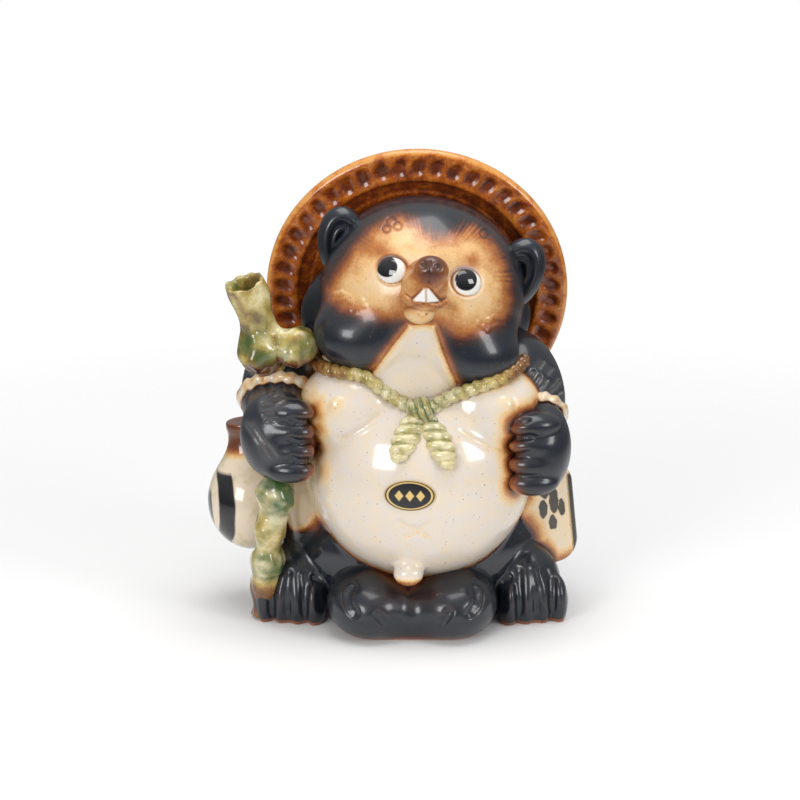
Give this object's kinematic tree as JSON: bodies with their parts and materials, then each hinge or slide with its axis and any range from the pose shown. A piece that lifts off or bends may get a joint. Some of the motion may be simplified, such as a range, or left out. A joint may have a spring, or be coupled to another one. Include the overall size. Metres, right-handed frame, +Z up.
{
  "type": "tanuki statue",
  "caption": "Seated tanuki figure of glazed stoneware with a round straw hat behind its head, a crooked staff, a sake flask and an account book.",
  "frame": {"origin": "on the table under the middle of the figure", "axes": "+Z up, the figure looks along -Y, +X is the figure's own left"},
  "size_m": [0.1354, 0.1021, 0.1689],
  "materials": {
    "black_glaze": "blue-black gloss glaze that breaks red-brown on the edges",
    "cream_glaze": "cream gloss glaze with fine iron specks and brown airbrushed edges",
    "amber_glaze": "amber gloss glaze, mottled, darker in the pits",
    "face_glaze": "cream gloss glaze airbrushed with orange-brown",
    "eye_glaze": "white gloss glaze with a painted black pupil",
    "olive_glaze": "olive green and brown gloss glaze, run and pooled",
    "rope_glaze": "cream, yellow and green gloss glaze over a twisted relief",
    "flask_glaze": "cream gloss glaze with a brown neck and a black brush band",
    "book_glaze": "cream gloss glaze with black brush dabs and a black bound edge",
    "label_paper": "black paper oval with a printed gold rim"
  },
  "bodies": {
    "root": {"body_shell": "cream_glaze", "head_shell": "face_glaze", "muzzle": "face_glaze", "right_eye": "eye_glaze", "left_eye": "eye_glaze", "right_ear": "black_glaze", "left_ear": "black_glaze", "hat": "amber_glaze", "right_arm": "black_glaze", "left_arm": "black_glaze", "right_wrist_cord": "rope_glaze", "left_wrist_cord": "rope_glaze", "right_foot": "black_glaze", "left_foot": "black_glaze", "front_sac": "black_glaze", "tail": "black_glaze", "sake_flask": "flask_glaze", "account_book": "book_glaze", "staff": "olive_glaze", "neck_rope": "rope_glaze", "right_tassel": "rope_glaze", "left_tassel": "rope_glaze", "belly_label": "label_paper"}
  },
  "joints": []
}
